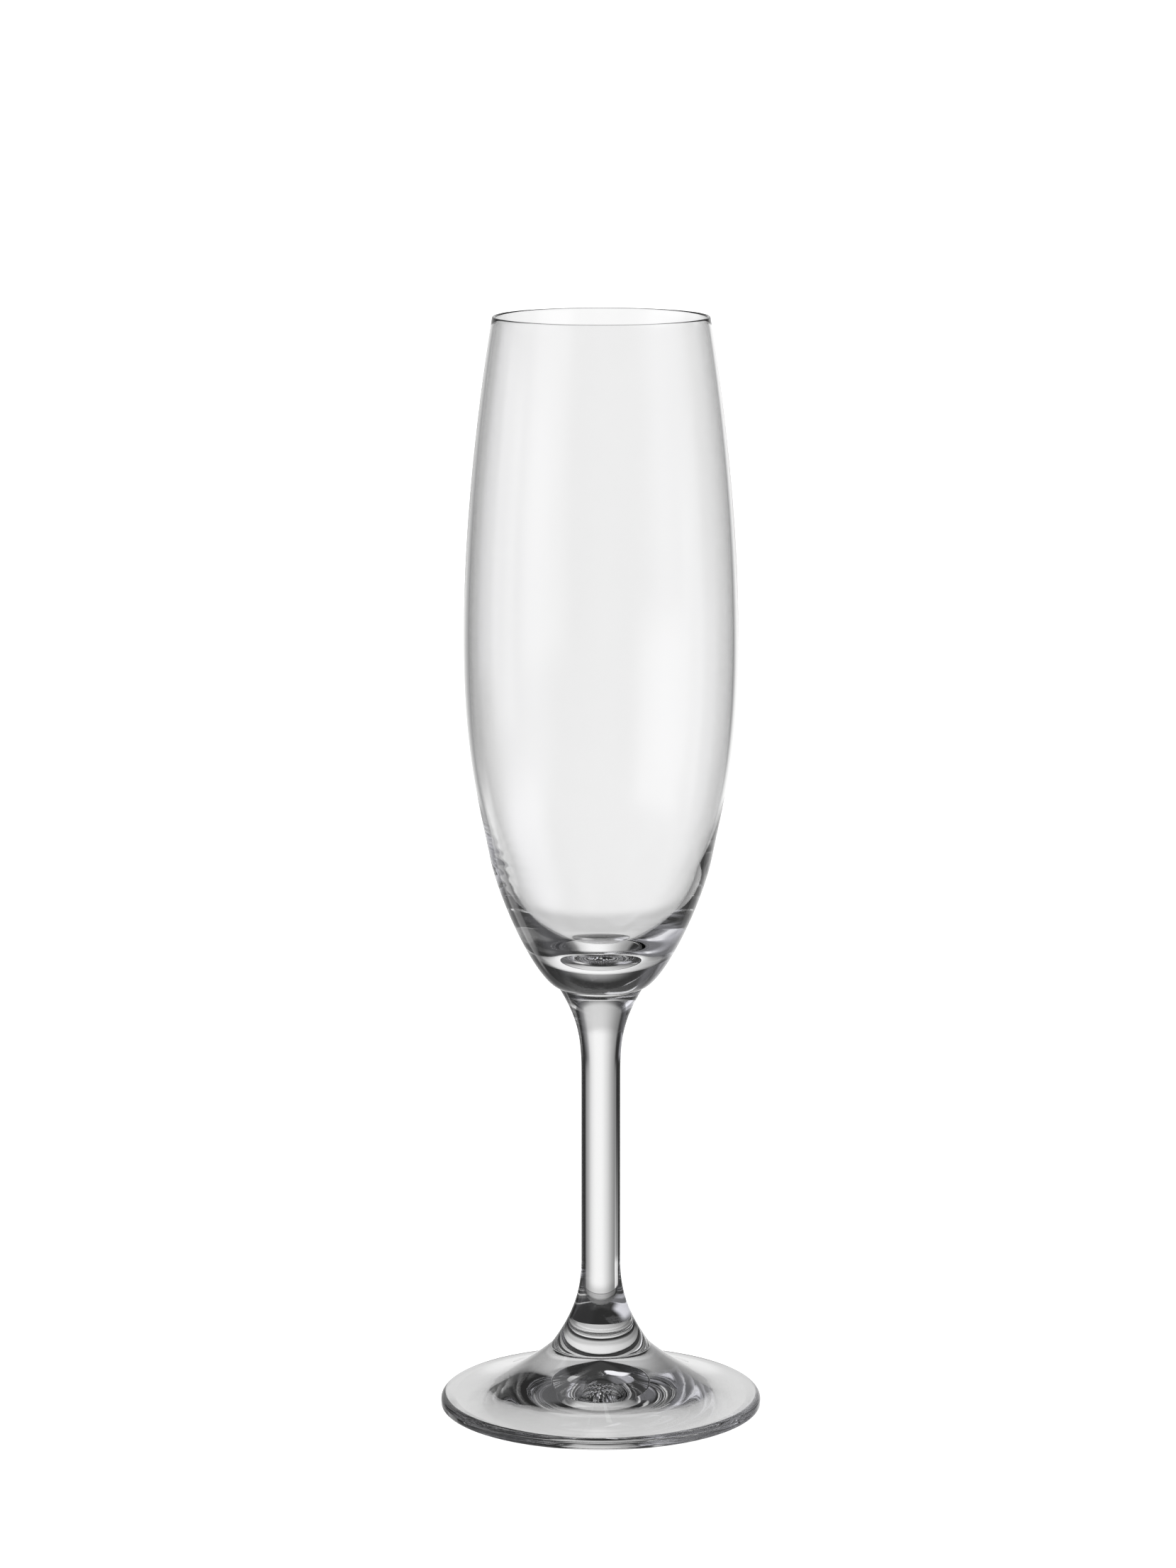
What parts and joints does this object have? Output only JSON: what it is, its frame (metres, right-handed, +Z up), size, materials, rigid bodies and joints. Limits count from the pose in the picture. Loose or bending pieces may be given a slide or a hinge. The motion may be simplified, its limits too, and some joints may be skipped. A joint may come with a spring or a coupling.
{
  "type": "champagne flute",
  "caption": "Clear glass champagne flute: a tall, slightly closed bowl on a slim solid stem with a round, gently coned foot, for serving sparkling wine.",
  "frame": {"origin": "centre of the circle on which the foot stands, at the table surface", "axes": "+Z up along the axis of the glass, from foot to rim; +X and +Y are any two square directions, since the glass is the same all round"},
  "size_m": [0.0662, 0.0662, 0.225],
  "materials": {
    "glass": "clear, fire-polished"
  },
  "bodies": {
    "root": {"bowl": "glass", "stem": "glass", "foot": "glass"}
  },
  "joints": []
}
